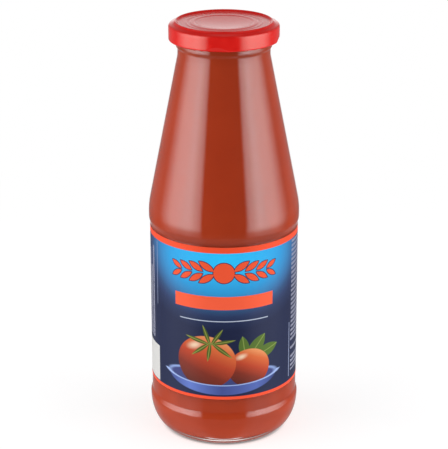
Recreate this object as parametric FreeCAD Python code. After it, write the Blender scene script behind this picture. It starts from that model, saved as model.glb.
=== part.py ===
"""Glass bottle of crushed, sieved tomatoes, with a red twist-off metal lid and a paper wrap label.

Millimetres, +Z up.  The origin is the middle of the foot, on the surface that the bottle stands on.
The pieces are turned about Z: each is an outline of radius and height, taken once round.
"""
import math
import os

import FreeCAD
import Part

# Glass: foot and heel
FOOT_RING_WIDTH = 2.3               # flat ring that the bottle stands on
PUNT_RISE = 3.0                     # the middle of the foot is pushed up by this
HEEL_PROUD = 0.8                    # the heel's widest point outside the label panel
HEEL_HEIGHT = 17.3                  # height of that point
HEEL_ACROSS = 11.3                  # half axes of the oval that rounds the heel
HEEL_UP = 17.7
HEEL_BAND = 0.8                     # short upright band at the widest point

# Glass: the recessed panel that takes the label
PANEL_RADIUS = 38.5
PANEL_FOOT = 21.4
PANEL_TOP = 114.2

# Glass: shoulder and cone
SHOULDER_PROUD = 0.7                # the shoulder's widest point outside the label panel
SHOULDER_EASE = 4.2                 # height of the soft step from the panel out to the shoulder
SHOULDER_BAND = 1.9                 # upright band at the shoulder's widest point
SHOULDER_ROUND = 43.0               # radius of the arc from that band into the cone
CONE_LEAN = math.radians(11.15)     # the cone's lean from upright

# Glass: waist, bead and finish, with heights measured up from the waist
FINISH_RADIUS = 24.3                # the wall inside the lid
WAIST_DRAW = 0.7                    # the waist, under the bead, is drawn in from the finish by this
WAIST_ROUND = 8.0                   # radius of the hollow between cone and waist
CREASE_RISE = 3.45                  # to the crease under the bead
CREASE_FLARE = 0.45                 # the glass flares out by this on the way to the crease
BEAD_HEIGHT = 3.2
BEAD_BULGE = 0.3
CATCH_PROUD = 1.6                   # ring that the lid's lugs catch under
CATCH_HEIGHT = 1.7
MOUTH_RISE = 14.85                  # to the top of the sealing lip
LIP_ROUND = 1.2

# Glass: wall and inside
WALL = 2.5
BASE_THICKNESS = 5.2                # at the foot of the inside corner
INNER_HEEL_ACROSS = 10.0            # half axes of the oval that rounds the inside corner
INNER_HEEL_UP = 12.0
BASE_CROWN = 1.6                    # the inside of the base rises by this towards its middle

# Contents
HEADSPACE = 2.9                     # from the contents up to the top of the sealing lip

# Label
PAPER = 0.1
LABEL_FOOT_GAP = 7.85               # bare panel under the label
LABEL_TOP_GAP = 0.8                 # bare panel above it
LAP_WIDTH = 9.0                     # one end is laid over the other at the back

# Lid
SHEET = 0.3
SKIRT_HEIGHT = 9.55                 # from the skirt's foot up to the rim's crest
CURL_RADIUS = 0.7                   # rolled edge at the skirt's foot
CURL_CLEARANCE = 0.8                # between the curl and the ring on the glass that it passes
RIM_HEIGHT = 2.9                    # from the top of the upright skirt to the crest
CORNER_RADIUS = 1.4                 # rounding from the skirt over to the ledge
LEDGE_WIDTH = 1.9                   # sloping ledge round the foot of the crest
LEDGE_LEAN = math.radians(23)       # its slope, from level
CREST_LEAN = math.radians(48)       # slope of the crest's two sides, from level
CREST_WIDTH = 0.9                   # width of the arc that rounds the crest
PANEL_DROP = 1.1                    # the panel lies this far under the crest
LINING = 0.35                       # sealing compound between the sheet and the glass lip
LINING_OVERLAP = 2.6                # how far the compound reaches in over the sealing lip
PANEL_RINGS = (                     # raised rings round the button: inset from the panel's edge, then
    (3.5, 1.3, 0.4, 0.2),           # the ring's width, the width of its slopes, and its height
    (5.6, 3.0, 0.7, 0.35))
BUTTON_RADIUS = 13.7
BUTTON_DIP = 0.5                    # the vacuum draws the button's middle down by this
LUG_COUNT = 4
LUG_TURN = -97.5                    # direction of the first lug, in degrees
LUG_WIDTH = 13.0
LUG_PRESS_HEIGHT = 2.2              # height of the flat that is pressed into the skirt over a lug
LUG_PRESS_DEPTH = 0.8               # how far that flat goes in at the foot of the skirt
LUG_THICKNESS = 0.8
LUG_CLEARANCE = 0.25                # from the lug to the neck, and to the ring above it

# Radii that follow from the sizes above
HEEL_RADIUS = PANEL_RADIUS + HEEL_PROUD
SHOULDER_RADIUS = PANEL_RADIUS + SHOULDER_PROUD
WAIST_RADIUS = FINISH_RADIUS - WAIST_DRAW
BORE = WAIST_RADIUS - WALL
SKIRT_RADIUS = FINISH_RADIUS + CATCH_PROUD + CURL_CLEARANCE + 2 * CURL_RADIUS
LEDGE_OUTER = SKIRT_RADIUS - CORNER_RADIUS * (1 - math.sin(LEDGE_LEAN))
LEDGE_INNER = LEDGE_OUTER - LEDGE_WIDTH
CREST_FALL = 0.5 * CREST_WIDTH * math.tan(0.5 * CREST_LEAN)     # of the arc, to each side of the crest


def point(place):
    return FreeCAD.Vector(place[0], 0, place[1])


def sound(shape):
    """The one closed, valid solid that a piece has to be."""
    shape = shape.removeSplitter()
    if not shape.isValid() or len(shape.Solids) != 1:
        raise ValueError("a piece is not one sound solid")
    return shape.Solids[0]


def swung(shape, degrees):
    """A shape that was modelled along +X, swung round Z."""
    return shape.rotated(FreeCAD.Vector(), FreeCAD.Vector(0, 0, 1), degrees)


class Outline:
    """An outline in the plane of radius and height, walked from point to point."""

    def __init__(self, radius, height):
        self.start = (radius, height)
        self.here = self.start
        self.heading = (0.0, 1.0)
        self.edges = []

    def face(self, outward, upward):
        """Turn to a new heading at a corner."""
        length = math.hypot(outward, upward)
        self.heading = (outward / length, upward / length)
        return self

    def line_to(self, radius, height):
        end = (radius, height)
        self.edges.append(Part.LineSegment(point(self.here), point(end)).toShape())
        self.face(end[0] - self.here[0], end[1] - self.here[1])
        self.here = end
        return self

    def arc_to(self, radius, height):
        """One arc that leaves along the heading."""
        across, up = radius - self.here[0], height - self.here[1]
        bend = math.atan2(self.heading[0] * up - self.heading[1] * across,
                          self.heading[0] * across + self.heading[1] * up)
        bulge = 0.5 * math.tan(0.5 * bend)
        middle = (self.here[0] + 0.5 * across + bulge * up, self.here[1] + 0.5 * up - bulge * across)
        self.edges.append(Part.Arc(point(self.here), point(middle), point((radius, height))).toShape())
        turn = math.atan2(self.heading[1], self.heading[0]) + 2 * bend
        self.heading = (math.cos(turn), math.sin(turn))
        self.here = (radius, height)
        return self

    def ease_to(self, radius, height):
        """Two equal arcs, upright at both ends."""
        middle = (0.5 * (self.here[0] + radius), 0.5 * (self.here[1] + height))
        return self.face(0, height - self.here[1]).arc_to(*middle).arc_to(radius, height)

    def oval_to(self, radius, height, across, up):
        """Along an upright oval, from below, to its widest point."""
        centre = FreeCAD.Vector(radius - across, 0, height)
        oval = Part.Ellipse(centre + FreeCAD.Vector(0, 0, up), centre + FreeCAD.Vector(across, 0, 0), centre)
        ends = sorted(oval.parameter(point(place)) for place in (self.here, (radius, height)))
        self.edges.append(Part.ArcOfEllipse(oval, *ends).toShape())
        self.here = (radius, height)
        return self.face(0, 1)

    def turned(self, turn=360):
        """Closed, and taken round Z."""
        if math.dist(self.here, self.start) > 1e-6:
            self.line_to(*self.start)
        face = Part.Face(Part.Wire(self.edges))
        return sound(face.revolve(FreeCAD.Vector(), FreeCAD.Vector(0, 0, 1), turn))


def oval_radius(widest, widest_height, across, up, height):
    """Radius, at a height, of an upright oval whose widest point is given."""
    return widest - across + across * math.sqrt(1 - ((widest_height - height) / up) ** 2)


def waist_height():
    """The cone starts and ends in arcs, and its lean sets how high it climbs to the waist."""
    arcs = SHOULDER_ROUND + WAIST_ROUND
    across = SHOULDER_RADIUS - WAIST_RADIUS - arcs * (1 - math.cos(CONE_LEAN))
    climb = arcs * math.sin(CONE_LEAN) + across / math.tan(CONE_LEAN)
    return PANEL_TOP + SHOULDER_EASE + SHOULDER_BAND + climb


# Heights that follow from the waist
WAIST = waist_height()
LIP_TOP = WAIST + MOUTH_RISE
PANEL_LEVEL = LIP_TOP + LINING + SHEET
CREST = PANEL_LEVEL + PANEL_DROP
SKIRT_TOP = CREST - RIM_HEIGHT
SKIRT_FOOT = CREST - SKIRT_HEIGHT
LUG_TOP = SKIRT_FOOT + LUG_THICKNESS
CATCH = LUG_TOP + LUG_CLEARANCE


def bottle_side(outline, inset):
    """From the heel's widest point up to the waist, on the outside or set in by the wall."""
    outline.line_to(HEEL_RADIUS - inset, HEEL_HEIGHT + HEEL_BAND)
    outline.ease_to(PANEL_RADIUS - inset, PANEL_FOOT)
    outline.line_to(PANEL_RADIUS - inset, PANEL_TOP)
    outline.ease_to(SHOULDER_RADIUS - inset, PANEL_TOP + SHOULDER_EASE)
    band_top = PANEL_TOP + SHOULDER_EASE + SHOULDER_BAND
    outline.line_to(SHOULDER_RADIUS - inset, band_top)
    rounding = SHOULDER_ROUND - inset
    outline.arc_to(SHOULDER_RADIUS - inset - rounding * (1 - math.cos(CONE_LEAN)),
                   band_top + rounding * math.sin(CONE_LEAN))
    hollow = WAIST_ROUND + inset
    outline.line_to(WAIST_RADIUS - inset + hollow * (1 - math.cos(CONE_LEAN)),
                    WAIST - hollow * math.sin(CONE_LEAN))
    return outline.arc_to(WAIST_RADIUS - inset, WAIST)


def inside(top):
    """The room inside the glass, from the base up to a level in the neck."""
    floor_edge = HEEL_RADIUS - WALL - INNER_HEEL_ACROSS
    outline = Outline(0, BASE_THICKNESS + BASE_CROWN)
    outline.face(1, 0).arc_to(floor_edge, BASE_THICKNESS)
    outline.oval_to(HEEL_RADIUS - WALL, BASE_THICKNESS + INNER_HEEL_UP, INNER_HEEL_ACROSS, INNER_HEEL_UP)
    bottle_side(outline, WALL)
    outline.line_to(BORE, top)
    return outline.line_to(0, top).turned()


def bottle():
    """Clear glass, blown in a mould: foot, heel, label panel, shoulder, cone, bead and finish."""
    foot_radius = oval_radius(HEEL_RADIUS, HEEL_HEIGHT, HEEL_ACROSS, HEEL_UP, 0)
    outline = Outline(0, PUNT_RISE)
    outline.face(1, 0).arc_to(foot_radius - FOOT_RING_WIDTH, 0)
    outline.line_to(foot_radius, 0)
    outline.oval_to(HEEL_RADIUS, HEEL_HEIGHT, HEEL_ACROSS, HEEL_UP)
    bottle_side(outline, 0)

    crease = WAIST + CREASE_RISE
    outline.arc_to(WAIST_RADIUS + CREASE_FLARE, crease)
    bead_lean = math.atan2(FINISH_RADIUS - outline.here[0], BEAD_HEIGHT)
    bead_angle = bead_lean + 2 * math.atan2(2 * BEAD_BULGE, BEAD_HEIGHT)
    outline.face(math.sin(bead_angle), math.cos(bead_angle)).arc_to(FINISH_RADIUS, crease + BEAD_HEIGHT)

    outline.line_to(FINISH_RADIUS, CATCH)
    outline.line_to(FINISH_RADIUS + CATCH_PROUD, CATCH)
    outline.line_to(FINISH_RADIUS + CATCH_PROUD, CATCH + CATCH_HEIGHT)
    outline.line_to(FINISH_RADIUS, LIP_TOP - LIP_ROUND)
    outline.face(0, 1).arc_to(FINISH_RADIUS - LIP_ROUND, LIP_TOP)
    outline.line_to(0, LIP_TOP)
    return sound(outline.turned().cut(inside(LIP_TOP)))


def passata():
    """The tomato fills the bottle to just under the lid."""
    return inside(LIP_TOP - HEADSPACE)


def label():
    """Paper wrapped once round the panel, its second end laid over the first at the back."""
    foot = PANEL_FOOT + LABEL_FOOT_GAP
    top = PANEL_TOP - LABEL_TOP_GAP

    def sleeve(radius, turn):
        outline = Outline(radius, foot).line_to(radius + PAPER, foot)
        return outline.line_to(radius + PAPER, top).line_to(radius, top).turned(turn)

    lap_turn = math.degrees(LAP_WIDTH / PANEL_RADIUS)
    lap = swung(sleeve(PANEL_RADIUS + PAPER, lap_turn), 90 - 0.5 * lap_turn)
    return sound(sleeve(PANEL_RADIUS, 360).fuse(lap))


def pressed_panel(edge, level):
    """The panel's pressed line, from its edge to the button's: raised rings go round the button."""
    line = [(edge, level)]
    for inset, width, slope, rise in PANEL_RINGS:
        outer, inner = edge - inset, edge - inset - width
        line += [(outer, level), (outer - slope, level + rise), (inner + slope, level + rise), (inner, level)]
    return line + [(BUTTON_RADIUS, level)]


def skirt_block(section):
    """A section of radius and height, drawn out sideways to the lug's width."""
    corners = [FreeCAD.Vector(radius, -0.5 * LUG_WIDTH, height) for radius, height in section]
    return Part.Face(Part.makePolygon(corners + corners[:1])).extrude(FreeCAD.Vector(0, LUG_WIDTH, 0))


def lid():
    """Pressed tinplate: a skirt with a curled foot, a sloping ledge, a crest, a sunk panel with rings and a
    safety button, sealing compound over the glass lip, and lugs pressed in from the skirt."""
    outline = Outline(SKIRT_RADIUS, SKIRT_FOOT + CURL_RADIUS)
    outline.line_to(SKIRT_RADIUS, SKIRT_TOP)
    ledge_foot = SKIRT_TOP + CORNER_RADIUS * math.cos(LEDGE_LEAN)
    ledge_head = ledge_foot + LEDGE_WIDTH * math.tan(LEDGE_LEAN)
    crest_outer = LEDGE_INNER - (CREST - CREST_FALL - ledge_head) / math.tan(CREST_LEAN)
    crest_inner = crest_outer - CREST_WIDTH
    panel_edge = crest_inner - (PANEL_DROP - CREST_FALL) / math.tan(CREST_LEAN)
    outline.arc_to(LEDGE_OUTER, ledge_foot)
    outline.line_to(LEDGE_INNER, ledge_head)
    outline.line_to(crest_outer, CREST - CREST_FALL)
    outline.arc_to(crest_inner, CREST - CREST_FALL)
    for radius, height in pressed_panel(panel_edge, PANEL_LEVEL):
        outline.line_to(radius, height)
    outline.face(BUTTON_DIP ** 2 - BUTTON_RADIUS ** 2, -2 * BUTTON_DIP * BUTTON_RADIUS)
    outline.arc_to(0, PANEL_LEVEL - BUTTON_DIP)

    underside = PANEL_LEVEL - SHEET
    outline.line_to(0, underside - BUTTON_DIP)
    outline.face(1, 0).arc_to(BUTTON_RADIUS, underside)
    for radius, height in reversed(pressed_panel(panel_edge, underside)[1:-1]):
        outline.line_to(radius, height)
    outline.line_to(FINISH_RADIUS - LINING_OVERLAP, underside)
    outline.line_to(FINISH_RADIUS - LINING_OVERLAP, LIP_TOP)
    outline.line_to(SKIRT_RADIUS - CORNER_RADIUS, LIP_TOP)
    outline.line_to(SKIRT_RADIUS - SHEET, SKIRT_TOP)
    outline.line_to(SKIRT_RADIUS - SHEET, SKIRT_FOOT + 2 * CURL_RADIUS)
    outline.line_to(SKIRT_RADIUS - CURL_RADIUS, SKIRT_FOOT + 2 * CURL_RADIUS)
    outline.arc_to(SKIRT_RADIUS - CURL_RADIUS, SKIRT_FOOT)
    outline.arc_to(SKIRT_RADIUS, SKIRT_FOOT + CURL_RADIUS)
    shape = outline.turned()

    press_top = SKIRT_FOOT + LUG_PRESS_HEIGHT
    press_foot = SKIRT_RADIUS - LUG_PRESS_DEPTH
    tip = FINISH_RADIUS + LUG_CLEARANCE
    pressed_away = skirt_block([(SKIRT_RADIUS, press_top), (press_foot, SKIRT_FOOT),
                                (SKIRT_RADIUS + SHEET, SKIRT_FOOT), (SKIRT_RADIUS + SHEET, press_top)])
    lug = skirt_block([(SKIRT_RADIUS, press_top), (press_foot, SKIRT_FOOT), (tip, SKIRT_FOOT),
                       (tip, LUG_TOP), (press_foot - SHEET, LUG_TOP), (SKIRT_RADIUS - SHEET, press_top)])
    lug = lug.common(Part.makeCylinder(SKIRT_RADIUS, press_top))
    for number in range(LUG_COUNT):
        turn = LUG_TURN + number * 360 / LUG_COUNT
        shape = shape.cut(swung(pressed_away, turn)).fuse(swung(lug, turn))
    return sound(shape)


os.makedirs("parts", exist_ok=True)
for make in (bottle, passata, label, lid):
    make().exportStep(f"parts/{make.__name__}.step")
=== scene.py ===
import math

import bmesh
import bpy
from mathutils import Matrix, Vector


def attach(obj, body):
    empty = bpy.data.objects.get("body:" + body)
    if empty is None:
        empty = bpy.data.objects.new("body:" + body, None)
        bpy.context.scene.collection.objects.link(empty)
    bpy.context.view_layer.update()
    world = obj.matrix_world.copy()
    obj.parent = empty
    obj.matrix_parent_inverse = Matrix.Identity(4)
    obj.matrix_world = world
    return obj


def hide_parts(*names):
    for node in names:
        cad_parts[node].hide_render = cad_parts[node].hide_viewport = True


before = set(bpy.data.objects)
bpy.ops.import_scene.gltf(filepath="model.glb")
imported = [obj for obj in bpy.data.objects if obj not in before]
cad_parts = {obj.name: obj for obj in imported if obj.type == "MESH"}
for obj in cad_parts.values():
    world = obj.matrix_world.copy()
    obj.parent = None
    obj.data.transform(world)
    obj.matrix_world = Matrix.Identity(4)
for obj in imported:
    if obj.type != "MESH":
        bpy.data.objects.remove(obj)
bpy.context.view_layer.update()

MM = 0.001                         # sizes below are in millimetres, meshes in metres
SCENE = bpy.context.scene

# ---------------------------------------------------------------------------------------------
# Camera.  A long lens on a tripod about 0.9 m off, well above the lid and looking down.
# ---------------------------------------------------------------------------------------------
CAMERA_DISTANCE = 0.857            # from the bottle's axis
CAMERA_HEIGHT = 0.4241
AIM_HEIGHT = 0.11188

lens = bpy.data.cameras.new("camera")
lens.lens = 139.8
lens.sensor_width = 36
camera = bpy.data.objects.new("camera", lens)
SCENE.collection.objects.link(camera)
camera.location = (0, -CAMERA_DISTANCE, CAMERA_HEIGHT)
aim = Vector((0, 0, AIM_HEIGHT))
camera.rotation_euler = (aim - camera.location).to_track_quat("-Z", "Y").to_euler()
SCENE.camera = camera
SCENE.view_settings.view_transform = "Standard"

# ---------------------------------------------------------------------------------------------
# The bottle.  Clear glass blown in a two-part mould: pushed-up foot, round heel, a panel sunk for
# the label, a soft shoulder, a straight cone up to the waist, a bead, and the finish in the lid.
# ---------------------------------------------------------------------------------------------
FOOT_RING_WIDTH = 2.3
PUNT_RISE = 3.0
HEEL_RADIUS = 39.3
HEEL_HEIGHT = 17.3
HEEL_ACROSS = 11.3
HEEL_UP = 17.7
HEEL_BAND = 0.8
PANEL_RADIUS = 38.5
PANEL_FOOT = 21.4
PANEL_TOP = 114.2
SHOULDER_RADIUS = 39.2
SHOULDER_EASE = 4.2
SHOULDER_BAND = 1.9
SHOULDER_ROUND = 43.0
CONE_LEAN = math.radians(11.15)
WAIST_RADIUS = 23.6
WAIST_ROUND = 8.0
FINISH_RADIUS = 24.3
CREASE_RISE = 3.45
CREASE_FLARE = 0.45
CREASE_HEIGHT = 0.8                # of the groove under the bead
BEAD_PROUD = 0.08
BEAD_ROUND = 0.7                   # height over which the bead swells
BEAD_HEIGHT = 3.2
CATCH_PROUD = 1.6
CATCH_HEIGHT = 1.7
MOUTH_RISE = 14.85
LIP_ROUND = 1.2
WALL = 2.5
BASE_THICKNESS = 5.2
INNER_HEEL_ACROSS = 10.0
INNER_HEEL_UP = 12.0
BASE_CROWN = 1.6
AROUND = 192                       # facets round the bottle
SHARP = math.radians(35)           # edges that bend more than this stay crisp


class Outline:
    """A line of radius and height, walked from point to point and sampled as it goes."""

    def __init__(self, radius, height):
        self.points = [(radius, height)]
        self.heading = (0.0, 1.0)

    def face(self, outward, upward):
        length = math.hypot(outward, upward)
        self.heading = (outward / length, upward / length)
        return self

    def line_to(self, radius, height, steps=1):
        start = self.points[-1]
        for step in range(1, steps + 1):
            part = step / steps
            self.points.append((start[0] + (radius - start[0]) * part,
                                start[1] + (height - start[1]) * part))
        return self.face(radius - start[0], height - start[1])

    def arc_to(self, radius, height, steps=8):
        """One arc that leaves along the heading."""
        start = self.points[-1]
        across, up = radius - start[0], height - start[1]
        bend = math.atan2(self.heading[0] * up - self.heading[1] * across,
                          self.heading[0] * across + self.heading[1] * up)
        turn = math.atan2(self.heading[1], self.heading[0])
        reach = math.hypot(across, up) / math.sin(bend)
        for step in range(1, steps + 1):
            part = bend * step / steps
            length = reach * math.sin(part)
            self.points.append((start[0] + length * math.cos(turn + part),
                                start[1] + length * math.sin(turn + part)))
        self.points[-1] = (radius, height)
        self.heading = (math.cos(turn + 2 * bend), math.sin(turn + 2 * bend))
        return self

    def ease_to(self, radius, height, steps=5):
        """Two equal arcs, upright at both ends."""
        start = self.points[-1]
        middle = (0.5 * (start[0] + radius), 0.5 * (start[1] + height))
        return self.face(0, height - start[1]).arc_to(*middle, steps).arc_to(radius, height, steps)

    def oval_to(self, radius, height, across, up, steps=14):
        """Along an upright oval, from below, to its widest point."""
        first = -math.asin(min(1, (height - self.points[-1][1]) / up))
        for step in range(1, steps + 1):
            angle = first * (1 - step / steps)
            self.points.append((radius - across * (1 - math.cos(angle)), height + up * math.sin(angle)))
        return self.face(0, 1)

    def follow(self, other):
        """Walk on along another outline's points."""
        self.points += [place for place in other.points if math.dist(place, self.points[-1]) > 1e-6]
        return self


def finish_mesh(name, vertices, faces, material):
    """A mesh object at the origin, smooth but for its sharp edges."""
    mesh = bpy.data.meshes.new(name)
    mesh.from_pydata(vertices, [], faces)
    mesh.shade_smooth()
    mesh.set_sharp_from_angle(angle=SHARP)
    mesh.materials.append(material)
    piece = bpy.data.objects.new(name, mesh)
    SCENE.collection.objects.link(piece)
    return piece


def turned(name, outline, around, material):
    """An outline that starts and ends on the axis, taken once round it."""
    rings = outline.points[1:-1]
    vertices = [(0, 0, outline.points[0][1] * MM), (0, 0, outline.points[-1][1] * MM)]
    for radius, height in rings:
        for facet in range(around):
            angle = math.tau * facet / around
            vertices.append((radius * MM * math.cos(angle), radius * MM * math.sin(angle), height * MM))
    faces = []
    for facet in range(around):
        beside = (facet + 1) % around
        faces.append((0, 2 + beside, 2 + facet))
        top = 2 + (len(rings) - 1) * around
        faces.append((1, top + facet, top + beside))
        for ring in range(len(rings) - 1):
            low, high = 2 + ring * around, 2 + (ring + 1) * around
            faces.append((low + facet, low + beside, high + beside, high + facet))
    return finish_mesh(name, vertices, faces, material)


def oval_radius(height):
    """The heel's radius at a height under its widest point."""
    return HEEL_RADIUS - HEEL_ACROSS + HEEL_ACROSS * math.sqrt(1 - ((HEEL_HEIGHT - height) / HEEL_UP) ** 2)


def waist_height():
    arcs = SHOULDER_ROUND + WAIST_ROUND
    across = SHOULDER_RADIUS - WAIST_RADIUS - arcs * (1 - math.cos(CONE_LEAN))
    climb = arcs * math.sin(CONE_LEAN) + across / math.tan(CONE_LEAN)
    return PANEL_TOP + SHOULDER_EASE + SHOULDER_BAND + climb


def bottle_side(outline, inset):
    """From the heel's widest point up to the waist, on the outside or set in by the wall."""
    outline.line_to(HEEL_RADIUS - inset, HEEL_HEIGHT + HEEL_BAND)
    outline.ease_to(PANEL_RADIUS - inset, PANEL_FOOT)
    outline.line_to(PANEL_RADIUS - inset, PANEL_TOP, 8)
    outline.ease_to(SHOULDER_RADIUS - inset, PANEL_TOP + SHOULDER_EASE)
    band_top = PANEL_TOP + SHOULDER_EASE + SHOULDER_BAND
    outline.line_to(SHOULDER_RADIUS - inset, band_top)
    rounding = SHOULDER_ROUND - inset
    outline.arc_to(SHOULDER_RADIUS - inset - rounding * (1 - math.cos(CONE_LEAN)),
                   band_top + rounding * math.sin(CONE_LEAN), 12)
    hollow = WAIST_ROUND + inset
    outline.line_to(WAIST_RADIUS - inset + hollow * (1 - math.cos(CONE_LEAN)),
                    WAIST - hollow * math.sin(CONE_LEAN), 8)
    return outline.arc_to(WAIST_RADIUS - inset, WAIST)


def inner_wall(inset):
    """The inside of the glass from the middle of the base up to the waist."""
    outline = Outline(0, BASE_THICKNESS + BASE_CROWN)
    outline.face(1, 0).arc_to(HEEL_RADIUS - WALL - INNER_HEEL_ACROSS, BASE_THICKNESS, 10)
    outline.oval_to(HEEL_RADIUS - inset, BASE_THICKNESS + INNER_HEEL_UP,
                    INNER_HEEL_ACROSS + WALL - inset, INNER_HEEL_UP)
    return bottle_side(outline, inset)


def rgb(red, green, blue):
    """A colour as a scene-linear value, from the usual 0 to 255."""
    return tuple((level / 255 / 12.92) if level <= 10 else ((level / 255 + 0.055) / 1.055) ** 2.4
                 for level in (red, green, blue)) + (1.0,)


def new_material(name, **sockets):
    """A material with one shader, whose plain sockets are set."""
    material = bpy.data.materials.new(name)
    material.use_nodes = True
    shader = material.node_tree.nodes["Principled BSDF"]
    for socket, value in sockets.items():
        shader.inputs[socket.replace("_", " ")].default_value = value
    return material, material.node_tree, shader


WAIST = waist_height()
LIP_TOP = WAIST + MOUTH_RISE
LUG_THICKNESS = 0.8
LUG_CLEARANCE = 0.25
LINING = 0.35
SHEET = 0.3
PANEL_DROP = 1.1
SKIRT_HEIGHT = 9.55
PANEL_LEVEL = LIP_TOP + LINING + SHEET
CREST = PANEL_LEVEL + PANEL_DROP
SKIRT_FOOT = CREST - SKIRT_HEIGHT
CATCH = SKIRT_FOOT + LUG_THICKNESS + LUG_CLEARANCE

glass, tree, shader = new_material("clear_glass", Base_Color=(0.985, 1.0, 0.99, 1), Roughness=0.0,
                                   IOR=1.5, Transmission_Weight=1.0)
path = tree.nodes.new("ShaderNodeLightPath")
through = tree.nodes.new("ShaderNodeBsdfTransparent")
choice = tree.nodes.new("ShaderNodeMixShader")
tree.links.new(path.outputs["Is Shadow Ray"], choice.inputs[0])
tree.links.new(shader.outputs[0], choice.inputs[1])
tree.links.new(through.outputs[0], choice.inputs[2])
tree.links.new(choice.outputs[0], tree.nodes["Material Output"].inputs["Surface"])

outline = Outline(0, PUNT_RISE)
foot_radius = oval_radius(0)
outline.face(1, 0).arc_to(foot_radius - FOOT_RING_WIDTH, 0, 10)
outline.line_to(foot_radius, 0)
outline.oval_to(HEEL_RADIUS, HEEL_HEIGHT, HEEL_ACROSS, HEEL_UP, 20)
bottle_side(outline, 0)
crease = WAIST + CREASE_RISE
outline.line_to(WAIST_RADIUS, crease - CREASE_HEIGHT, 4)
outline.arc_to(WAIST_RADIUS + CREASE_FLARE, crease, 5)
outline.face(1, 0.9).arc_to(FINISH_RADIUS + BEAD_PROUD, crease + BEAD_ROUND, 6)
outline.arc_to(FINISH_RADIUS, crease + BEAD_HEIGHT, 6)
outline.line_to(FINISH_RADIUS, CATCH)
outline.line_to(FINISH_RADIUS + CATCH_PROUD, CATCH)
outline.line_to(FINISH_RADIUS + CATCH_PROUD, CATCH + CATCH_HEIGHT)
outline.line_to(FINISH_RADIUS, LIP_TOP - LIP_ROUND)
outline.face(0, 1).arc_to(FINISH_RADIUS - LIP_ROUND, LIP_TOP, 6)
outline.line_to(WAIST_RADIUS - WALL, LIP_TOP)
inner = inner_wall(WALL)
inner.points.reverse()
outline.follow(inner)
bottle = turned("glass_bottle", outline, AROUND, glass)
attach(bottle, "root")
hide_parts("bottle")

# ---------------------------------------------------------------------------------------------
# The passata.  Sieved tomato, thick and even, filled hot to just under the lid.  It reaches a
# hair's breadth into the glass, so that no air shows between the two.
# ---------------------------------------------------------------------------------------------
HEADSPACE = 2.9
INTO_GLASS = 0.15
FILL_LEVEL = LIP_TOP - HEADSPACE

tomato, tree, shader = new_material("sieved_tomato", Roughness=0.6, Specular_IOR_Level=0.0)
place = tree.nodes.new("ShaderNodeTexCoord")
cloud = tree.nodes.new("ShaderNodeTexNoise")
cloud.inputs["Scale"].default_value = 45
cloud.inputs["Detail"].default_value = 6
pulp = tree.nodes.new("ShaderNodeValToRGB")
dark, light = pulp.color_ramp.elements
dark.position, dark.color = 0.3, rgb(190, 66, 28)
light.position, light.color = 0.7, rgb(198, 71, 31)
tree.links.new(place.outputs["Object"], cloud.inputs["Vector"])
tree.links.new(cloud.outputs[0], pulp.inputs[0])
tree.links.new(pulp.outputs[0], shader.inputs["Base Color"])

outline = Outline(0, BASE_THICKNESS + BASE_CROWN - INTO_GLASS)
floor_edge = HEEL_RADIUS - WALL - INNER_HEEL_ACROSS
outline.face(1, 0).arc_to(floor_edge, BASE_THICKNESS - INTO_GLASS, 10)
outline.oval_to(HEEL_RADIUS - WALL + INTO_GLASS, BASE_THICKNESS + INNER_HEEL_UP,
                INNER_HEEL_ACROSS + INTO_GLASS, INNER_HEEL_UP + INTO_GLASS)
bottle_side(outline, WALL - INTO_GLASS)
outline.line_to(WAIST_RADIUS - WALL + INTO_GLASS, FILL_LEVEL)
outline.line_to(0, FILL_LEVEL)
passata = turned("tomato_filling", outline, AROUND, tomato)
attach(passata, "root")
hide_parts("passata")

# ---------------------------------------------------------------------------------------------
# The label.  Coated paper in one strip, printed, wrapped once round the sunk panel and glued, its
# second end laid over the first at the back.
# ---------------------------------------------------------------------------------------------
PAPER = 0.1
LABEL_FOOT = PANEL_FOOT + 7.85
LABEL_TOP = PANEL_TOP - 0.8
LABEL_HEIGHT = LABEL_TOP - LABEL_FOOT
LAP_WIDTH = 9.0
LABEL_RADIUS = PANEL_RADIUS + PAPER
LAP_TURN = LAP_WIDTH / PANEL_RADIUS
WRAP_TURN = math.tau + LAP_TURN
WRAP_START = 0.5 * math.pi - 0.5 * LAP_TURN
WRAP_LENGTH = LABEL_RADIUS * WRAP_TURN
FRONT = (1.5 * math.pi - WRAP_START) / WRAP_TURN     # share of the strip's length at the front's middle
COLUMNS = 320


def wire(tree, source, target):
    """Link a socket to another, or set a plain value on it."""
    if isinstance(source, bpy.types.NodeSocket):
        tree.links.new(source, target)
    else:
        target.default_value = source


def work(tree, operation, *terms):
    """One step of arithmetic."""
    node = tree.nodes.new("ShaderNodeMath")
    node.operation = operation
    for socket, term in zip(node.inputs, terms):
        wire(tree, term, socket)
    return node.outputs[0]


def ranged(tree, value, low, high, first=0.0, last=1.0, smooth=True):
    """A value that runs from first to last as another runs from low to high."""
    node = tree.nodes.new("ShaderNodeMapRange")
    node.interpolation_type = "SMOOTHSTEP" if smooth else "LINEAR"
    for socket, term in zip(node.inputs, (value, low, high, first, last)):
        wire(tree, term, socket)
    return node.outputs[0]


def laid_over(tree, mask, under, over):
    """One ink laid over another where the mask is 1."""
    node = tree.nodes.new("ShaderNodeMix")
    node.data_type = "RGBA"
    wire(tree, mask, node.inputs[0])
    wire(tree, under, node.inputs[6])
    wire(tree, over, node.inputs[7])
    return node.outputs[2]


def ramp(tree, value, *stops):
    """Colours that blend along a value."""
    node = tree.nodes.new("ShaderNodeValToRGB")
    wire(tree, value, node.inputs[0])
    band = node.color_ramp
    while len(band.elements) < len(stops):
        band.elements.new(0.5)
    for element, (position, shade) in zip(band.elements, stops):
        element.position = position
        element.color = shade
    return node.outputs[0]


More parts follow.
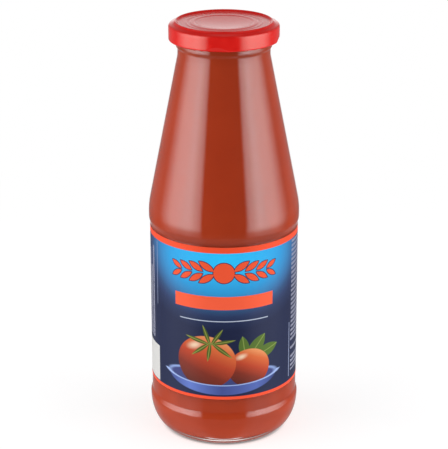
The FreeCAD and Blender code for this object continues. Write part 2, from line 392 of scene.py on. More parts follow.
def shape_group(name, unit_size, measure):
    """A group that tells how far outside a printed shape a place is, in millimetres."""
    group = bpy.data.node_groups.new(name, "ShaderNodeTree")
    for socket, kind in (("Place", "NodeSocketVector"), ("Middle", "NodeSocketVector"),
                         ("Half Size", "NodeSocketVector"), ("Turn", "NodeSocketFloat")):
        group.interface.new_socket(socket, in_out="INPUT", socket_type=kind)
    group.interface.new_socket("Distance", in_out="OUTPUT", socket_type="NodeSocketFloat")
    group.interface.new_socket("Across", in_out="OUTPUT", socket_type="NodeSocketFloat")
    group.interface.new_socket("Up", in_out="OUTPUT", socket_type="NodeSocketFloat")
    given = group.nodes.new("NodeGroupInput")
    turn = group.nodes.new("ShaderNodeCombineXYZ")
    group.links.new(given.outputs["Turn"], turn.inputs[2])
    local = group.nodes.new("ShaderNodeMapping")
    local.vector_type = "TEXTURE"
    group.links.new(given.outputs["Place"], local.inputs["Vector"])
    group.links.new(given.outputs["Middle"], local.inputs["Location"])
    group.links.new(turn.outputs[0], local.inputs["Rotation"])
    if unit_size:
        group.links.new(given.outputs["Half Size"], local.inputs["Scale"])
    parts = group.nodes.new("ShaderNodeSeparateXYZ")
    group.links.new(local.outputs[0], parts.inputs[0])
    size = group.nodes.new("ShaderNodeSeparateXYZ")
    group.links.new(given.outputs["Half Size"], size.inputs[0])
    distance = measure(group, parts.outputs[0], parts.outputs[1], size.outputs[0], size.outputs[1])
    result = group.nodes.new("NodeGroupOutput")
    for value, socket in zip((distance, parts.outputs[0], parts.outputs[1]), result.inputs):
        group.links.new(value, socket)
    return group


def length_of(tree, across, up):
    return work(tree, "SQRT", work(tree, "ADD", work(tree, "MULTIPLY", across, across),
                                   work(tree, "MULTIPLY", up, up)))


def oval_distance(tree, across, up, wide, high):
    beyond = work(tree, "SUBTRACT", length_of(tree, across, up), 1.0)
    return work(tree, "MULTIPLY", beyond, work(tree, "MINIMUM", wide, high))


def bar_distance(tree, across, up, wide, high):
    return work(tree, "MAXIMUM", work(tree, "SUBTRACT", work(tree, "ABSOLUTE", across), wide),
                work(tree, "SUBTRACT", work(tree, "ABSOLUTE", up), high))


def leaf_distance(tree, across, up, wide, high):
    """Two arcs that meet in points above and below."""
    squares = work(tree, "SUBTRACT", work(tree, "MULTIPLY", high, high), work(tree, "MULTIPLY", wide, wide))
    offset = work(tree, "DIVIDE", squares, work(tree, "MULTIPLY", wide, 2.0))
    reach = length_of(tree, work(tree, "ADD", work(tree, "ABSOLUTE", across), offset), up)
    return work(tree, "SUBTRACT", reach, work(tree, "ADD", wide, offset))


PRINTED_OVAL = shape_group("printed_oval", True, oval_distance)
PRINTED_BAR = shape_group("printed_bar", False, bar_distance)
PRINTED_LEAF = shape_group("printed_leaf", False, leaf_distance)


def shape(tree, group, place, middle, half, turn=0.0):
    node = tree.nodes.new("ShaderNodeGroup")
    node.node_tree = group
    wire(tree, place, node.inputs["Place"])
    node.inputs["Middle"].default_value = (*middle, 0)
    node.inputs["Half Size"].default_value = (*half, 1)
    node.inputs["Turn"].default_value = math.radians(turn)
    return node


def inked(tree, distance, edge=0.12):
    """1 inside a shape and 0 outside, with a fine soft edge."""
    return ranged(tree, distance, -edge, edge, 1.0, 0.0)


paper, tree, shader = new_material("printed_paper", Roughness=0.36, Specular_IOR_Level=0.18)
chart = tree.nodes.new("ShaderNodeUVMap")
chart.uv_map = "wrap"
split = tree.nodes.new("ShaderNodeSeparateXYZ")
tree.links.new(chart.outputs[0], split.inputs[0])
across = work(tree, "MULTIPLY", work(tree, "SUBTRACT", split.outputs[0], FRONT), WRAP_LENGTH)
height = work(tree, "ADD", work(tree, "MULTIPLY", split.outputs[1], LABEL_HEIGHT), LABEL_FOOT)
join = tree.nodes.new("ShaderNodeCombineXYZ")
tree.links.new(across, join.inputs[0])
tree.links.new(height, join.inputs[1])
spot = join.outputs[0]
mirror = tree.nodes.new("ShaderNodeCombineXYZ")
tree.links.new(work(tree, "ABSOLUTE", across), mirror.inputs[0])
tree.links.new(height, mirror.inputs[1])
both_sides = mirror.outputs[0]

# night-blue ground with a light blue glow at the top
GLOW_HALF = (46.0, 28.0)
GLOW_REACH = 1.5                   # how many half sizes out the blue has gone dark
glow = shape(tree, PRINTED_OVAL, spot, (0, 107.6), GLOW_HALF)
away = work(tree, "ADD", work(tree, "DIVIDE", glow.outputs["Distance"], GLOW_HALF[1]), 1.0)
ink = ramp(tree, work(tree, "DIVIDE", away, GLOW_REACH),
           (0.0, rgb(37, 193, 252)), (0.2, rgb(40, 180, 240)), (0.33, rgb(43, 165, 226)),
           (0.45, rgb(38, 148, 208)), (0.53, rgb(48, 130, 186)), (0.63, rgb(48, 98, 148)),
           (0.7, rgb(42, 72, 112)), (0.76, rgb(38, 54, 93)), (0.82, rgb(32, 44, 78)),
           (0.95, rgb(23, 31, 62)))

# orange ornament: a fruit between two sprays of leaves
ORNAMENT_HEIGHT = 99.6
fruit = shape(tree, PRINTED_OVAL, spot, (0, ORNAMENT_HEIGHT), (5.4, 5.4))
ornament = fruit.outputs["Distance"]
for number in range(4):
    reach = 9.0 + 5.6 * number
    size = 4.6 - 0.45 * number
    for side in (1, -1):
        leaf = shape(tree, PRINTED_LEAF, both_sides,
                     (reach, ORNAMENT_HEIGHT + side * (3.3 - 0.35 * number)),
                     (0.36 * size, size), side * -58)
        ornament = work(tree, "MINIMUM", ornament, leaf.outputs["Distance"])
ink = laid_over(tree, inked(tree, work(tree, "SUBTRACT", ornament, 0.45)), ink, rgb(60, 40, 70))
ink = laid_over(tree, inked(tree, ornament), ink, rgb(232, 82, 46))

# banner, and a fine rule under the bare line
banner = shape(tree, PRINTED_BAR, spot, (0, 83.1), (27, 3.6))
ink = laid_over(tree, inked(tree, banner.outputs["Distance"]), ink, rgb(238, 90, 56))
rule = shape(tree, PRINTED_BAR, spot, (0, 73.1), (24, 0.22))
ink = laid_over(tree, inked(tree, rule.outputs["Distance"], 0.2), ink, rgb(190, 200, 220))

# picture: tomatoes in a blue dish
DISH = (-1.0, 42.0)
dish_back = shape(tree, PRINTED_OVAL, spot, DISH, (31, 5.6))
ink = laid_over(tree, inked(tree, dish_back.outputs["Distance"], 0.3), ink, rgb(137, 160, 212))
dish_inside = shape(tree, PRINTED_OVAL, spot, (DISH[0], DISH[1] - 0.3), (29.6, 4.8))
ink = laid_over(tree, inked(tree, dish_inside.outputs["Distance"], 0.3), ink, rgb(56, 63, 115))


def printed_tomato(tree, ink, middle, half):
    """Round fruit, light from the upper left and warm light from the right."""
    round_form = shape(tree, PRINTED_OVAL, spot, middle, half)
    sideways, upward = round_form.outputs["Across"], round_form.outputs["Up"]
    light = work(tree, "ADD", work(tree, "MULTIPLY", sideways, 0.28),
                 work(tree, "MULTIPLY", upward, 0.62))
    skin = ramp(tree, ranged(tree, light, -0.7, 0.7, smooth=False),
                (0.0, rgb(78, 34, 28)), (0.3, rgb(120, 42, 28)), (0.55, rgb(176, 62, 34)),
                (0.8, rgb(206, 100, 52)), (1.0, rgb(222, 150, 96)))
    ink = laid_over(tree, inked(tree, round_form.outputs["Distance"], 0.2), ink, skin)
    shine = shape(tree, PRINTED_OVAL, spot, (middle[0] - 0.38 * half[0], middle[1] + 0.62 * half[1]),
                  (0.3 * half[0], 0.16 * half[1]), 18)
    gleam = ranged(tree, shine.outputs["Distance"], -0.16 * half[1], 0.05 * half[1], 0.9, 0.0)
    return laid_over(tree, gleam, ink, rgb(232, 205, 175))


def printed_leaf(tree, ink, middle, half, turn, shade, vein):
    leaf = shape(tree, PRINTED_LEAF, spot, middle, half, turn)
    rib = ranged(tree, work(tree, "ABSOLUTE", leaf.outputs["Across"]), 0.0, 0.45, 0.6, 0.0)
    body = laid_over(tree, rib, shade, vein)
    return laid_over(tree, inked(tree, leaf.outputs["Distance"], 0.18), ink, body)


LEAF_GREEN = rgb(78, 104, 38)
LEAF_VEIN = rgb(150, 168, 84)
for middle, half, turn in (((17.0, 57.5), (3.6, 8.5), -38), ((23.0, 54.5), (3.4, 7.8), -72),
                           ((10.5, 58.0), (2.8, 6.5), 8)):
    ink = printed_leaf(tree, ink, middle, half, turn, LEAF_GREEN, LEAF_VEIN)
ink = printed_tomato(tree, ink, (13.5, 46.5), (11.5, 10.6))
ink = printed_tomato(tree, ink, (-9.5, 50.0), (15.8, 14.6))
STALK = (-7.0, 60.5)
for turn, size in ((-80, 6.6), (-35, 5.6), (20, 6.0), (75, 7.0), (128, 6.4), (-128, 7.2), (172, 5.6)):
    middle = (STALK[0] - size * math.sin(math.radians(turn)),
              STALK[1] + 0.8 * size * math.cos(math.radians(turn)))
    ink = printed_leaf(tree, ink, middle, (1.1, size), turn, rgb(70, 88, 32), rgb(165, 170, 80))

front_wall = shape(tree, PRINTED_OVAL, spot, DISH, (31, 10.2))
below = ranged(tree, height, DISH[1] - 0.2, DISH[1] + 0.2, 1.0, 0.0)
rim_gap = shape(tree, PRINTED_OVAL, spot, (DISH[0], DISH[1] + 0.6), (31, 5.2))
wall_mask = work(tree, "MULTIPLY", below, inked(tree, front_wall.outputs["Distance"], 0.25))
past_rim = work(tree, "SUBTRACT", 1.0, inked(tree, rim_gap.outputs["Distance"], 0.2))
wall_mask = work(tree, "MULTIPLY", wall_mask, past_rim)
glaze = ramp(tree, ranged(tree, front_wall.outputs["Across"], -1.0, 1.0, smooth=False),
             (0.0, rgb(52, 62, 120)), (0.22, rgb(92, 116, 190)), (0.5, rgb(62, 76, 140)),
             (0.8, rgb(78, 98, 168)), (1.0, rgb(44, 54, 104)))
ink = laid_over(tree, wall_mask, ink, glaze)
from_rim = work(tree, "ABSOLUTE", work(tree, "SUBTRACT", rim_gap.outputs["Distance"], 0.25))
rim_line = ranged(tree, from_rim, 0.1, 0.4, 1.0, 0.0)
ink = laid_over(tree, work(tree, "MULTIPLY", rim_line, below), ink, rgb(150, 172, 220))

# small print: rows of dashes where the maker's text would stand, two rules, and a bare white box
WORDS_PER_MM = 0.26
RAGGED = 22                        # by how much the shortest row stops short
BLANK_ROWS = 0.1                   # share of rows left bare between paragraphs
PALE_INK = rgb(150, 152, 172)


def field_of(tree, middle, half):
    return inked(tree, shape(tree, PRINTED_BAR, spot, middle, half).outputs["Distance"], 0.1)


def small_print(tree, ink, row_at, along, field, last, pitch, thickness, seed):
    """Rows of dashes of uneven length, ragged at the last end, like words too small to read."""
    rows = work(tree, "DIVIDE", row_at, pitch)
    row = work(tree, "FLOOR", rows)
    off_middle = work(tree, "ABSOLUTE", work(tree, "SUBTRACT", work(tree, "FRACT", rows), 0.5))
    half = 0.5 * thickness / pitch
    line = ranged(tree, off_middle, half, half + 0.08, 1.0, 0.0)
    words = tree.nodes.new("ShaderNodeTexVoronoi")
    words.voronoi_dimensions = "1D"
    words.feature = "DISTANCE_TO_EDGE"
    wire(tree, work(tree, "ADD", work(tree, "MULTIPLY", along, WORDS_PER_MM),
                    work(tree, "MULTIPLY", row, 17.31 + seed)), words.inputs["W"])
    gaps = ranged(tree, words.outputs["Distance"], 0.09, 0.15)
    chance = tree.nodes.new("ShaderNodeTexWhiteNoise")
    chance.noise_dimensions = "1D"
    wire(tree, work(tree, "ADD", row, seed), chance.inputs["W"])
    chance = chance.outputs["Value"]
    short = work(tree, "MULTIPLY", work(tree, "POWER", chance, 3.0), RAGGED)
    written = work(tree, "LESS_THAN", along, work(tree, "SUBTRACT", last, short))
    written = work(tree, "MULTIPLY", written, work(tree, "GREATER_THAN", chance, BLANK_ROWS))
    dashes = work(tree, "MULTIPLY", line, gaps)
    mask = work(tree, "MULTIPLY", dashes, work(tree, "MULTIPLY", field, written))
    return laid_over(tree, mask, ink, PALE_INK)


for row_at, along, middle, half, last, pitch, thickness, seed in (
        (height, across, (66, 73), (22.5, 37), 88, 2.5, 1.15, 0.0),
        (across, height, (-52.5, 81), (8.5, 27), 107, 3.3, 1.7, 0.61),
        (height, across, (-84, 81), (20.0, 27), -65, 2.5, 1.15, 0.71)):
    ink = small_print(tree, ink, row_at, along, field_of(tree, middle, half), last, pitch, thickness, seed)
for middle, half in (((41.6, 48.8), (0.3, 15.5)), ((-42.5, 92), (0.2, 17.5))):
    ink = laid_over(tree, field_of(tree, middle, half), ink, rgb(140, 150, 180))
ink = laid_over(tree, field_of(tree, (-58.5, 41.2), (17.5, 9.9)), ink, rgb(199, 198, 196))

# stripes along both edges
for edge, wide in ((LABEL_TOP, 3.15), (LABEL_FOOT, 1.66)):
    stripe = shape(tree, PRINTED_BAR, spot, (0, edge), (200, wide))
    ink = laid_over(tree, inked(tree, stripe.outputs["Distance"]), ink, rgb(236, 76, 42))
tree.links.new(ink, shader.inputs["Base Color"])
grain = tree.nodes.new("ShaderNodeTexNoise")
grain.inputs["Scale"].default_value = 900
grain.inputs["Detail"].default_value = 3
place = tree.nodes.new("ShaderNodeTexCoord")
tree.links.new(place.outputs["Object"], grain.inputs["Vector"])
tooth = tree.nodes.new("ShaderNodeBump")
tooth.inputs["Strength"].default_value = 0.08
tooth.inputs["Distance"].default_value = 0.0001
tree.links.new(grain.outputs[0], tooth.inputs["Height"])
tree.links.new(tooth.outputs[0], shader.inputs["Normal"])
tree.links.new(ranged(tree, grain.outputs[0], 0.3, 0.7, 0.33, 0.4), shader.inputs["Roughness"])

CLIMB = 0.05                       # share of the strip over which its end climbs onto the lap
vertices = []
for column in range(COLUMNS + 1):
    share = column / COLUMNS
    angle = WRAP_START + WRAP_TURN * share
    past = (angle - WRAP_START - math.tau) / (CLIMB * math.tau) + 1
    climb = min(max(past, 0.0), 1.0)
    back = PANEL_RADIUS + 0.005 + PAPER * climb * climb * (3 - 2 * climb)
    for radius, level in ((back, LABEL_FOOT), (back + PAPER, LABEL_FOOT),
                          (back + PAPER, LABEL_TOP), (back, LABEL_TOP)):
        vertices.append((radius * MM * math.cos(angle), radius * MM * math.sin(angle), level * MM))
faces = [(0, 3, 2, 1), tuple(4 * COLUMNS + corner for corner in (0, 1, 2, 3))]
for column in range(COLUMNS):
    near, far = 4 * column, 4 * column + 4
    for corner in range(4):
        after = (corner + 1) % 4
        faces.append((near + corner, near + after, far + after, far + corner))
label = finish_mesh("wrap_label", vertices, faces, paper)
label.data.uv_layers.new(name="wrap")
wrap = label.data.uv_layers["wrap"].data
for loop in label.data.loops:
    column, corner = divmod(loop.vertex_index, 4)
    wrap[loop.index].uv = (column / COLUMNS, 1.0 if corner in (2, 3) else 0.0)
check = bmesh.new()
check.from_mesh(label.data)
bmesh.ops.recalc_face_normals(check, faces=check.faces)
check.to_mesh(label.data)
check.free()
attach(label, "root")
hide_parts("label")

# ---------------------------------------------------------------------------------------------
# The lid.  Tinplate, enamelled red and pressed: a curled skirt, a rim, a sunk panel with two raised
# rings round the safety button, and lugs pressed in from the skirt to catch under the glass ring.
# ---------------------------------------------------------------------------------------------
CURL_RADIUS = 0.7
CURL_CLEARANCE = 0.8
SKIRT_RADIUS = FINISH_RADIUS + CATCH_PROUD + CURL_CLEARANCE + 2 * CURL_RADIUS
RIM_HEIGHT = 2.9
CORNER_RADIUS = 1.4
LEDGE_WIDTH = 1.9
LEDGE_LEAN = math.radians(23)
CREST_LEAN = math.radians(48)
CREST_WIDTH = 0.9
SKIRT_TOP = CREST - RIM_HEIGHT
LEDGE_OUTER = SKIRT_RADIUS - CORNER_RADIUS * (1 - math.sin(LEDGE_LEAN))
LEDGE_INNER = LEDGE_OUTER - LEDGE_WIDTH
LEDGE_FOOT = SKIRT_TOP + CORNER_RADIUS * math.cos(LEDGE_LEAN)
LEDGE_HEAD = LEDGE_FOOT + LEDGE_WIDTH * math.tan(LEDGE_LEAN)
CREST_SIDE = CREST - 0.5 * CREST_WIDTH * math.tan(0.5 * CREST_LEAN)
CREST_OUTER = LEDGE_INNER - (CREST_SIDE - LEDGE_HEAD) / math.tan(CREST_LEAN)
CREST_INNER = CREST_OUTER - CREST_WIDTH
PANEL_EDGE = CREST_INNER - (CREST_SIDE - PANEL_LEVEL) / math.tan(CREST_LEAN)
LINING_OVERLAP = 2.6
PANEL_RINGS = ((3.5, 1.3, 0.4, 0.2), (5.6, 3.0, 0.7, 0.35))    # inset, width, slope, rise
PANEL_SWEEP = 0.7                  # over which the panel's edge curves up to the crest
BUTTON_RADIUS = 13.7
BUTTON_DIP = 0.5
LUG_COUNT = 4
LUG_TURN = math.radians(-97.5)
LUG_WIDTH = 13.0
LUG_PRESS_HEIGHT = 2.2
LUG_PRESS_DEPTH = 0.8
LUG_ROOT_INSET = 0.2
LID_AROUND = 384

enamel, tree, shader = new_material("red_enamel", Roughness=0.2, Specular_Tint=(1.0, 0.94, 0.84, 1))
place = tree.nodes.new("ShaderNodeTexCoord")
cloud = tree.nodes.new("ShaderNodeTexNoise")
cloud.inputs["Scale"].default_value = 260
cloud.inputs["Detail"].default_value = 4
tree.links.new(place.outputs["Object"], cloud.inputs["Vector"])
tree.links.new(ramp(tree, cloud.outputs[0], (0.3, rgb(214, 18, 13)), (0.7, rgb(221, 22, 16))),
               shader.inputs["Base Color"])
tree.links.new(ranged(tree, cloud.outputs[0], 0.3, 0.7, 0.13, 0.19), shader.inputs["Roughness"])


def pressed_panel(outline, level):
    """From the axis out over the button and the raised rings round it."""
    outline.arc_to(BUTTON_RADIUS, level, 16)
    for inset, width, slope, rise in reversed(PANEL_RINGS):
        outer, inner = PANEL_EDGE - inset, PANEL_EDGE - inset - width
        for radius, height, steps in ((inner, level, 8), (inner + slope, level + rise, 1),
                                      (outer - slope, level + rise, 8), (outer, level, 1)):
            outline.line_to(radius, height, steps)
    return outline


outline = Outline(0, PANEL_LEVEL - SHEET - BUTTON_DIP).face(1, 0)
pressed_panel(outline, PANEL_LEVEL - SHEET)
outline.line_to(FINISH_RADIUS - LINING_OVERLAP, PANEL_LEVEL - SHEET)
outline.line_to(FINISH_RADIUS - LINING_OVERLAP, LIP_TOP)
outline.line_to(SKIRT_RADIUS - CORNER_RADIUS, LIP_TOP)
outline.line_to(SKIRT_RADIUS - SHEET, SKIRT_TOP)
outline.line_to(SKIRT_RADIUS - SHEET, SKIRT_FOOT + 2 * CURL_RADIUS, 6)
outline.line_to(SKIRT_RADIUS - CURL_RADIUS, SKIRT_FOOT + 2 * CURL_RADIUS)
outline.face(-1, 0).arc_to(SKIRT_RADIUS - CURL_RADIUS, SKIRT_FOOT + 0.0001, 8)
outline.face(1, 0).arc_to(SKIRT_RADIUS, SKIRT_FOOT + CURL_RADIUS, 6)
outline.line_to(SKIRT_RADIUS, SKIRT_FOOT + LUG_PRESS_HEIGHT + 0.2, 8)
outline.line_to(SKIRT_RADIUS, SKIRT_TOP, 4)
outline.arc_to(LEDGE_OUTER, LEDGE_FOOT, 8)
outline.line_to(LEDGE_INNER, LEDGE_HEAD, 2)
outline.line_to(CREST_OUTER, CREST_SIDE, 2)
outline.arc_to(CREST_INNER, CREST_SIDE, 10)
outline.arc_to(PANEL_EDGE - PANEL_SWEEP, PANEL_LEVEL, 10)
top = Outline(0, PANEL_LEVEL - BUTTON_DIP).face(1, 0)
pressed_panel(top, PANEL_LEVEL)
top.line_to(PANEL_EDGE - PANEL_SWEEP, PANEL_LEVEL, 8)
top.points.reverse()
outline.follow(top)
sheet = turned("lid_sheet", outline, LID_AROUND, enamel)


def node(tree, kind, *sources, **settings):
    """A node of a Geometry Nodes tree, with its inputs linked or set in order."""
    made = tree.nodes.new(kind)
    for setting, value in settings.items():
        setattr(made, setting, value)
    for socket, source in zip([s for s in made.inputs if s.enabled], sources):
        if source is not None:
            wire(tree, source, socket)
    return made


def gmath(tree, operation, *terms):
    return node(tree, "ShaderNodeMath", *terms, operation=operation).outputs[0]


lugs = bpy.data.node_groups.new("pressed_lugs", "GeometryNodeTree")
LUG_INPUTS = (("Geometry", "NodeSocketGeometry", None), ("Lug Count", "NodeSocketInt", LUG_COUNT),
              ("First Lug Turn", "NodeSocketFloat", LUG_TURN),
              ("Lug Width", "NodeSocketFloat", LUG_WIDTH * MM),
              ("Lug Thickness", "NodeSocketFloat", LUG_THICKNESS * MM),
              ("Press Height", "NodeSocketFloat", LUG_PRESS_HEIGHT * MM),
              ("Press Depth", "NodeSocketFloat", LUG_PRESS_DEPTH * MM),
              ("Skirt Radius", "NodeSocketFloat", SKIRT_RADIUS * MM),
              ("Skirt Foot", "NodeSocketFloat", SKIRT_FOOT * MM),
              ("Lug Tip Radius", "NodeSocketFloat", (FINISH_RADIUS + LUG_CLEARANCE) * MM),
              ("Enamel", "NodeSocketMaterial", enamel))
sockets = {name: lugs.interface.new_socket(name, in_out="INPUT", socket_type=kind)
           for name, kind, _ in LUG_INPUTS}
lugs.interface.new_socket("Geometry", in_out="OUTPUT", socket_type="NodeSocketGeometry")
given = lugs.nodes.new("NodeGroupInput").outputs
where = node(lugs, "ShaderNodeSeparateXYZ", lugs.nodes.new("GeometryNodeInputPosition").outputs[0]).outputs
step = gmath(lugs, "DIVIDE", math.tau, given["Lug Count"])
angle = gmath(lugs, "SUBTRACT", gmath(lugs, "ARCTAN2", where[1], where[0]), given["First Lug Turn"])
half_step = gmath(lugs, "MULTIPLY", step, 0.5)
from_lug = gmath(lugs, "WRAP", angle, half_step, gmath(lugs, "MULTIPLY", half_step, -1.0))
press_top = gmath(lugs, "ADD", given["Skirt Foot"], given["Press Height"])
lower = gmath(lugs, "DIVIDE", gmath(lugs, "SUBTRACT", press_top, where[2]), given["Press Height"])
lower = node(lugs, "ShaderNodeClamp", lower).outputs[0]
deep = gmath(lugs, "MULTIPLY", lower, given["Press Depth"])
flat_at = gmath(lugs, "SUBTRACT", given["Skirt Radius"], deep)
chord = gmath(lugs, "DIVIDE", flat_at, gmath(lugs, "MAXIMUM", gmath(lugs, "COSINE", from_lug), 0.2))
press = gmath(lugs, "MAXIMUM", gmath(lugs, "SUBTRACT", given["Skirt Radius"], chord), 0.0)
level = node(lugs, "ShaderNodeCombineXYZ", where[0], where[1]).outputs[0]
outward = node(lugs, "ShaderNodeVectorMath", level, operation="NORMALIZE").outputs[0]
shift = node(lugs, "ShaderNodeVectorMath", operation="SCALE")
wire(lugs, outward, shift.inputs[0])
wire(lugs, gmath(lugs, "MULTIPLY", press, -1.0), shift.inputs["Scale"])
pressed = lugs.nodes.new("GeometryNodeSetPosition")
wire(lugs, given["Geometry"], pressed.inputs["Geometry"])
wire(lugs, shift.outputs[0], pressed.inputs["Offset"])
root_radius = gmath(lugs, "SUBTRACT", given["Skirt Radius"], given["Press Depth"])
root_radius = gmath(lugs, "SUBTRACT", root_radius, LUG_ROOT_INSET * MM)
tongue_length = gmath(lugs, "SUBTRACT", root_radius, given["Lug Tip Radius"])
tongue_size = node(lugs, "ShaderNodeCombineXYZ", tongue_length, given["Lug Width"], given["Lug Thickness"])
tongue = node(lugs, "GeometryNodeMeshCube", tongue_size.outputs[0], 2, 2, 2)
half_thick = gmath(lugs, "MULTIPLY", given["Lug Thickness"], 0.5)
reach_out = gmath(lugs, "MULTIPLY", gmath(lugs, "ADD", root_radius, given["Lug Tip Radius"]), 0.5)
lift = gmath(lugs, "ADD", given["Skirt Foot"], half_thick)
set_out = node(lugs, "ShaderNodeCombineXYZ", reach_out, 0.0, lift)
tongue_at = lugs.nodes.new("GeometryNodeTransform")
wire(lugs, tongue.outputs["Mesh"], tongue_at.inputs["Geometry"])
wire(lugs, set_out.outputs[0], tongue_at.inputs["Translation"])
points = lugs.nodes.new("GeometryNodePoints")
wire(lugs, given["Lug Count"], points.inputs["Count"])
number = lugs.nodes.new("GeometryNodeInputIndex").outputs[0]
lug_turn = gmath(lugs, "ADD", gmath(lugs, "MULTIPLY", number, step), given["First Lug Turn"])
turned_to = node(lugs, "ShaderNodeCombineXYZ", 0.0, 0.0, lug_turn)
placed = lugs.nodes.new("GeometryNodeInstanceOnPoints")
wire(lugs, points.outputs[0], placed.inputs["Points"])
wire(lugs, tongue_at.outputs[0], placed.inputs["Instance"])
wire(lugs, turned_to.outputs[0], placed.inputs["Rotation"])
joined = lugs.nodes.new("GeometryNodeJoinGeometry")
wire(lugs, pressed.outputs[0], joined.inputs[0])
wire(lugs, placed.outputs[0], joined.inputs[0])
real = node(lugs, "GeometryNodeRealizeInstances", joined.outputs[0])
coated = lugs.nodes.new("GeometryNodeSetMaterial")
wire(lugs, real.outputs[0], coated.inputs["Geometry"])
wire(lugs, given["Enamel"], coated.inputs["Material"])
wire(lugs, coated.outputs[0], lugs.nodes.new("NodeGroupOutput").inputs[0])

modifier = sheet.modifiers.new("pressed_lugs", "NODES")
modifier.node_group = lugs
for name, kind, value in LUG_INPUTS[1:]:
    modifier[sockets[name].identifier] = value
lid_mesh = bpy.data.meshes.new_from_object(sheet.evaluated_get(bpy.context.evaluated_depsgraph_get()))
lid_mesh.name = "twist_lid"
lid = bpy.data.objects.new("twist_lid", lid_mesh)
SCENE.collection.objects.link(lid)
bpy.data.objects.remove(sheet)
lid_mesh.shade_smooth()
lid_mesh.set_sharp_from_angle(angle=math.radians(28))
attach(lid, "root")
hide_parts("lid")

# ---------------------------------------------------------------------------------------------
# The studio.  A white floor and backdrop, a tall softbox on each side, and a dark camera side, so
# that glass and enamel mirror a bright band left and right and nothing in front.
# ---------------------------------------------------------------------------------------------
AMBIENT = 0.35                     # light from all round, beside the two softboxes
SOFTBOX_GLEAM = 6.0                # how bright a softbox looks in glass and enamel
BOX_NEAR_EDGE = (32, 37.5)         # directions in degrees, from the camera's side round to the back
BOX_WARM_UP = (36, 54)
BOX_DIM_OUT = (55, 116)
BOX_FAR_EDGE = (82, 118)
BOX_NEAR_LEVEL = 0.43
BOX_FAR_LEVEL = 0.35
DARK_ROOM = (0.01, 0.045)          # beside the softboxes, in front and behind
LIGHT_BELOW = (1.0, 0.5)           # light thrown up by the white floor, close by and further off
OPEN_FLOOR = (0.1, 0.45)           # over which distances the floor turns from shaded to plain white
FOOT_PAINTED_SHADE = (0.0295, 0.0345)      # over which distances the painted shade under the foot ends
NEAR_WHITE = 0.5                   # the floor's own colour close to the bottle, and its glow there
NEAR_GLOW = 0.66
FLOOR_THROUGH_GLASS = 0.12         # how much of that glow shows through the foot


def light_paths(tree):
    """Masks for what the eye sees, for what glass and enamel mirror or let through, and for light
    after a first bounce."""
    path = tree.nodes.new("ShaderNodeLightPath")
    direct = work(tree, "LESS_THAN", path.outputs["Diffuse Depth"], 0.5)
    turned_ray = work(tree, "MAXIMUM", path.outputs["Is Glossy Ray"], path.outputs["Is Transmission Ray"])
    return (path.outputs["Is Camera Ray"],
            work(tree, "MULTIPLY", turned_ray, direct),
            work(tree, "SUBTRACT", 1.0, direct))


def grey(level):
    return (level, level, level, 1)


def turned(tree, turn, directions, first, last, smooth=True):
    """A level that runs from first to last between two directions, in degrees from the camera."""
    low, high = directions
    return ranged(tree, turn, low / 180, high / 180, first, last, smooth)


def by_angle(tree, value, first, *levels):
    """Levels at directions in degrees, where the value runs through half a turn from first."""
    return ramp(tree, value, *[(first + degrees / 180, grey(level)) for degrees, level in levels])


world = bpy.data.worlds.new("white_room")
world.use_nodes = True
SCENE.world = world
tree = world.node_tree
direction = tree.nodes.new("ShaderNodeTexCoord")
split = tree.nodes.new("ShaderNodeSeparateXYZ")
tree.links.new(direction.outputs["Generated"], split.inputs[0])
turn = work(tree, "ARCTAN2", work(tree, "ABSOLUTE", split.outputs[0]),
            work(tree, "MULTIPLY", split.outputs[1], -1.0))
turn = work(tree, "DIVIDE", turn, math.pi)                 # 0 towards the camera, 1 behind the bottle
rise = work(tree, "ADD", work(tree, "DIVIDE", work(tree, "ARCSINE", split.outputs[2]), math.pi), 0.5)
# a softbox has a sharp near edge, is brightest a little way in, and dims evenly to a soft far edge
near_edge = turned(tree, turn, BOX_NEAR_EDGE, 0.0, 1.0, smooth=False)
warm_up = turned(tree, turn, BOX_WARM_UP, BOX_NEAR_LEVEL, 1.0, smooth=False)
dim_out = turned(tree, turn, BOX_DIM_OUT, 1.0, BOX_FAR_LEVEL, smooth=False)
far_edge = turned(tree, turn, BOX_FAR_EDGE, 1.0, 0.0)
softbox = work(tree, "MULTIPLY", work(tree, "MULTIPLY", near_edge, warm_up),
               work(tree, "MULTIPLY", dim_out, far_edge))
softbox = work(tree, "ADD", softbox, turned(tree, turn, (0, 120), *DARK_ROOM))
reach = by_angle(tree, rise, 0.5, (-90, 0.05), (-32, 0.05), (-25, 0.07), (-20, 0.28), (-16, 0.8),
                 (-12, 0.96), (0, 1.0), (25, 1.0), (40, 0.6), (55, 0.1), (90, 0.0))
backdrop = by_angle(tree, rise, 0.5, (-90, 0.0), (-30, 0.2), (-12, 0.6), (1, 1.05), (8, 0.98),
                    (16, 0.72), (25, 0.72), (45, 0.5), (60, 0.33), (75, 0.2), (90, 0.15))
boxes = work(tree, "MULTIPLY", work(tree, "MULTIPLY", softbox, reach), SOFTBOX_GLEAM)
behind = work(tree, "MULTIPLY", backdrop, ranged(tree, turn, 0.88, 0.96))
ceiling = ranged(tree, rise, 0.75, 0.86, 0.06, 0.15)
lit_floor = ranged(tree, rise, 0.41, 0.34, 0.0, 0.35)
mirrored = work(tree, "ADD", work(tree, "ADD", boxes, behind), work(tree, "ADD", ceiling, lit_floor))
eye, mirror_ray, _ = light_paths(tree)
strength = work(tree, "ADD", work(tree, "MULTIPLY", eye, 1.0 - AMBIENT), AMBIENT)
over_ambient = work(tree, "MULTIPLY", mirror_ray, work(tree, "SUBTRACT", mirrored, AMBIENT))
strength = work(tree, "ADD", strength, over_ambient)
back = tree.nodes["Background"]
back.inputs["Color"].default_value = (1, 1, 1, 1)
wire(tree, strength, back.inputs["Strength"])
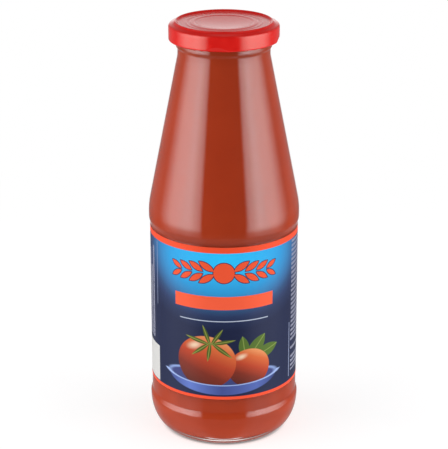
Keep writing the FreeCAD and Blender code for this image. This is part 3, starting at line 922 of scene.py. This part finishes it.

# the floor lights the heel from below; under the foot a shade is painted on it, and close round it it keeps
# the object's shadow
floor_white, tree, shader = new_material("white_floor", Roughness=0.9, Specular_IOR_Level=0.0)
place = tree.nodes.new("ShaderNodeTexCoord")
away = tree.nodes.new("ShaderNodeVectorMath")
away.operation = "LENGTH"
tree.links.new(place.outputs["Object"], away.inputs[0])
away = away.outputs["Value"]
open_floor = ranged(tree, away, *OPEN_FLOOR)
# painted shade: under the foot the floor gets no colour and no glow
past_painted_shade = ranged(tree, away, *FOOT_PAINTED_SHADE)
tree.links.new(ramp(tree, work(tree, "SUBTRACT", past_painted_shade, open_floor),
                    (0.0, grey(0.0)), (1.0, grey(NEAR_WHITE))), shader.inputs["Base Color"])
shader.inputs["Emission Color"].default_value = (1, 1, 1, 1)
eye, mirror_ray, bounced = light_paths(tree)
glow = ranged(tree, open_floor, 0.0, 1.0, NEAR_GLOW, 1.0, smooth=False)
seen = work(tree, "ADD", eye, work(tree, "MULTIPLY", mirror_ray, FLOOR_THROUGH_GLASS))
glow = work(tree, "MULTIPLY", work(tree, "MULTIPLY", glow, past_painted_shade), seen)
bounce = ranged(tree, open_floor, 0.0, 1.0, *LIGHT_BELOW, smooth=False)
bounce = work(tree, "MULTIPLY", bounced, bounce)
wire(tree, work(tree, "ADD", glow, bounce), shader.inputs["Emission Strength"])
FLOOR = 3.0
floor_mesh = bpy.data.meshes.new("floor")
corners = [(-FLOOR, -FLOOR, 0), (FLOOR, -FLOOR, 0), (FLOOR, FLOOR, 0), (-FLOOR, FLOOR, 0)]
floor_mesh.from_pydata(corners, [], [(0, 1, 2, 3)])
floor_mesh.materials.append(floor_white)
floor = bpy.data.objects.new("floor", floor_mesh)
SCENE.collection.objects.link(floor)
floor.visible_glossy = False

INNER_EDGE = math.radians(38)      # directions of a softbox's two edges, from the camera's side
OUTER_EDGE = math.radians(116)
BOX_DISTANCE = 0.8
BOX_TOP = 0.72
BOX_RADIANCE = 1.95
FLOOR_GAP = 0.005                  # keeps the boxes' lower edges off the floor
half_spread = 0.5 * (OUTER_EDGE - INNER_EDGE)
for side, name in ((-1, "left_softbox"), (1, "right_softbox")):
    lamp = bpy.data.lights.new(name, "AREA")
    lamp.shape = "RECTANGLE"
    lamp.size = 2 * BOX_DISTANCE * math.tan(half_spread)
    lamp.size_y = BOX_TOP
    lamp.energy = 4 * lamp.size * lamp.size_y * BOX_RADIANCE
    box = bpy.data.objects.new(name, lamp)
    SCENE.collection.objects.link(box)
    toward = 0.5 * (OUTER_EDGE + INNER_EDGE)
    box.location = (side * BOX_DISTANCE * math.sin(toward), -BOX_DISTANCE * math.cos(toward),
                    0.5 * BOX_TOP + FLOOR_GAP)
    level = Vector((box.location.x, box.location.y, 0))
    box.rotation_euler = level.to_track_quat("Z", "Y").to_euler()
    box.visible_camera = box.visible_glossy = box.visible_transmission = False
